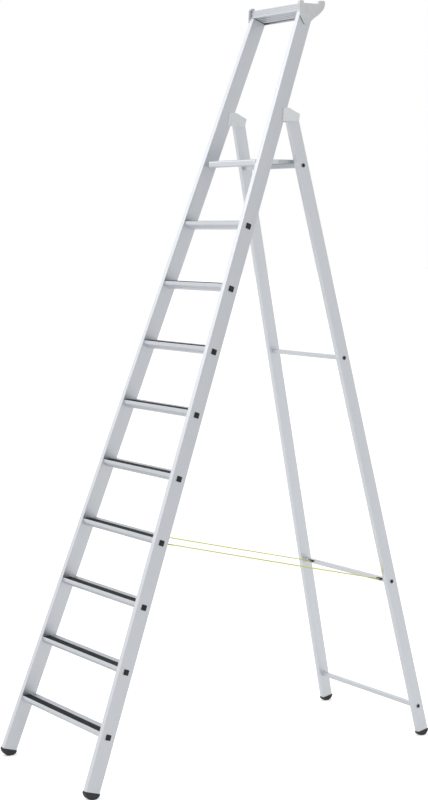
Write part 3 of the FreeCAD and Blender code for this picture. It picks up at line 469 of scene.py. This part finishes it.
for side in ("right", "left"):
    eased("tray_end_cap_" + side, 0.0007, 3)
    eased("hinge_bracket_" + side, 0.0009, 3)
    eased("platform_end_cap_" + side, 0.0006, 3)
    eased("front_foot_" + side, 0.0008, 3)
    eased("rear_foot_" + side, 0.0008, 3)
    eased("strap_clip_" + side, 0.0005, 2)
eased("tread_end_plugs", 0.0004, 2)
eased("brace_end_plugs", 0.0005, 3)
eased("brace_rivets", 0.0003, 2)
eased("strap_brackets", 0.0004, 2)


# ------------------------------------------------------------ spreader straps
Y_C = 0.833721
SX, SW, ST = 0.240, 0.025, 0.002
SA = Vector((0.0, 0.401793 - Y_C, 0.9236))
SB = Vector((0.0, 1.466525 - Y_C, 0.6693))
along = (SB - SA)
LEN = along.length
along.normalize()
nrm = Vector((0.0, -along.z, along.y))


def strap_frame(side, t):
    """Middle of the webbing at t metres from its front end, and its turned width and face directions."""
    k = math.pi * t / LEN
    c = SA + along * t - nrm * (0.0012 * math.sin(k))
    c.x += side * SX
    # a slight lengthwise roll, fading out where the ends are held
    a = (0.010 * math.sin(2.3 * k + (0.4 if side > 0 else 1.9)) - 0.075) * min(1.0, 3.0 * math.sin(k))
    return c, Vector((math.cos(a), 0, 0)) + nrm * math.sin(a), nrm * math.cos(a) - Vector((math.sin(a), 0, 0))


def band(side, name, t0, t1, width, thick, lift, rows):
    """A run of webbing: flat oval section with rounded selvedges."""
    half = width / 2
    sect = []
    for k in range(11):
        x = -half + width * k / 10
        e = min(1.0, (half - abs(x)) / 0.0016)
        sect.append((x, thick / 2 * (0.45 + 0.55 * math.sqrt(max(e, 0.0)))))
    ring = [(x, h) for x, h in sect] + [(x, -h) for x, h in reversed(sect)]
    bm = bmesh.new()
    uvl = bm.loops.layers.uv.new("UVMap")
    out = []
    for j in range(rows + 1):
        t = t0 + (t1 - t0) * j / rows
        c, w, f = strap_frame(side, t)
        out.append((t, [bm.verts.new(c + w * x + f * (h + lift)) for x, h in ring]))
    n = len(ring)
    for (ta, a), (tb, b2) in zip(out, out[1:]):
        for k in range(n):
            k2 = (k + 1) % n
            fc = bm.faces.new((a[k], a[k2], b2[k2], b2[k]))
            for lp, uu, tt in zip(fc.loops, (ring[k][0], ring[k2][0], ring[k2][0], ring[k][0]), (ta, ta, tb, tb)):
                lp[uvl].uv = (uu, tt)
    bm.faces.new(list(reversed(out[0][1])))
    bm.faces.new(out[-1][1])
    bmesh.ops.recalc_face_normals(bm, faces=bm.faces)
    return to_object(name, bm, webbing)


def stitches(side, name, t0, t1, width, lift, face):
    """Box-and-cross stitching: short raised threads along the outline and both diagonals."""
    bm = bmesh.new()
    x0 = width / 2
    corners = [(-x0, t0), (x0, t0), (x0, t1), (-x0, t1)]
    runs = [(corners[i], corners[(i + 1) % 4]) for i in range(4)]
    runs += [(corners[0], corners[2]), (corners[1], corners[3])]
    for (xa, ta), (xb, tb) in runs:
        ln = math.hypot(xb - xa, tb - ta)
        n = max(2, int(round(ln / 0.0034)))
        for i in range(n):
            f0, f1 = (i + 0.14) / n, (i + 0.86) / n
            rings = []
            for q, r in ((0.0, 0.00012), (0.2, 0.00036), (0.8, 0.00036), (1.0, 0.00012)):
                g = f0 + (f1 - f0) * q
                c, w, nf = strap_frame(side, ta + (tb - ta) * g)
                c = c + w * (xa + (xb - xa) * g) + nf * (lift * face)
                d = (w * (xb - xa) + along * (tb - ta)).normalized()
                e = nf.cross(d).normalized()
                rings.append([bm.verts.new(c + e * (r * 1.25 * math.cos(m * math.pi / 3)) +
                                           nf * (r * math.sin(m * math.pi / 3))) for m in range(6)])
            for a, b2 in zip(rings, rings[1:]):
                for m in range(6):
                    bm.faces.new((a[m], a[(m + 1) % 6], b2[(m + 1) % 6], b2[m]))
            bm.faces.new(list(reversed(rings[0])))
            bm.faces.new(rings[-1])
    bmesh.ops.recalc_face_normals(bm, faces=bm.faces)
    return to_object(name, bm, thread)


def strap(side, tag):
    """Flat webbing, doubled back and sewn at both ends."""
    main = band(side, "strap_webbing_" + tag, 0.0, LEN, SW, ST, 0.0, 260)
    fold = 0.0013
    lift = -(ST / 2 + fold / 2 - 0.0001)
    pieces = [main]
    for end, t0, t1 in (("front", 0.020, 0.062), ("rear", LEN - 0.058, LEN - 0.016)):
        pieces.append(band(side, "strap_fold_%s_%s" % (end, tag), t0, t1, SW - 0.0006, fold, lift, 14))
        pieces.append(stitches(side, "strap_stitch_%s_%s" % (end, tag), t0 + 0.005, t1 - 0.005, SW - 0.008,
                               ST / 2, 1.0))
        pieces.append(stitches(side, "strap_stitch_under_%s_%s" % (end, tag), t0 + 0.005, t1 - 0.005, SW - 0.008,
                               ST / 2 + fold - 0.0001, -1.0))
    for o in pieces:
        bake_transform(o)
    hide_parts("strap_" + tag)


strap(1, "right")
strap(-1, "left")

# ------------------------------------------------------------ floor
m, nt, b = new_mat("studio_floor")
ax = ((1, 0, 0), (0, 1, 0), (0, 0, 1))
f = noise(nt, local_coords(nt, ax, (1.2, 1.2, 1.2)), 1.0, 3.0, 0.5, 1.0)
nt.links.new(ramp_color(nt, f, ((0.3, (0.895, 0.895, 0.895)), (0.7, (0.915, 0.915, 0.915)))), b.inputs["Base Color"])
b.inputs["Roughness"].default_value = 0.9
b.inputs["Specular IOR Level"].default_value = 0.1
glow = nt.nodes.new("ShaderNodeEmission")
glow.inputs["Color"].default_value = (1.0, 1.0, 1.0, 1.0)
glow.inputs["Strength"].default_value = 0.36
both = nt.nodes.new("ShaderNodeAddShader")
nt.links.new(b.outputs[0], both.inputs[0])
nt.links.new(glow.outputs[0], both.inputs[1])
path = nt.nodes.new("ShaderNodeLightPath")
pick = nt.nodes.new("ShaderNodeMixShader")
nt.links.new(path.outputs["Is Camera Ray"], pick.inputs["Fac"])
nt.links.new(b.outputs[0], pick.inputs[1])
nt.links.new(both.outputs[0], pick.inputs[2])
nt.links.new(pick.outputs[0], next(n for n in nt.nodes if n.type == "OUTPUT_MATERIAL").inputs["Surface"])
bm = bmesh.new()
R = 60.0
vs = [bm.verts.new((x, y, -0.0002)) for x, y in ((-R, -R), (R, -R), (R, R), (-R, R))]
bm.faces.new(vs)
floor = to_object("floor", bm, m, False)
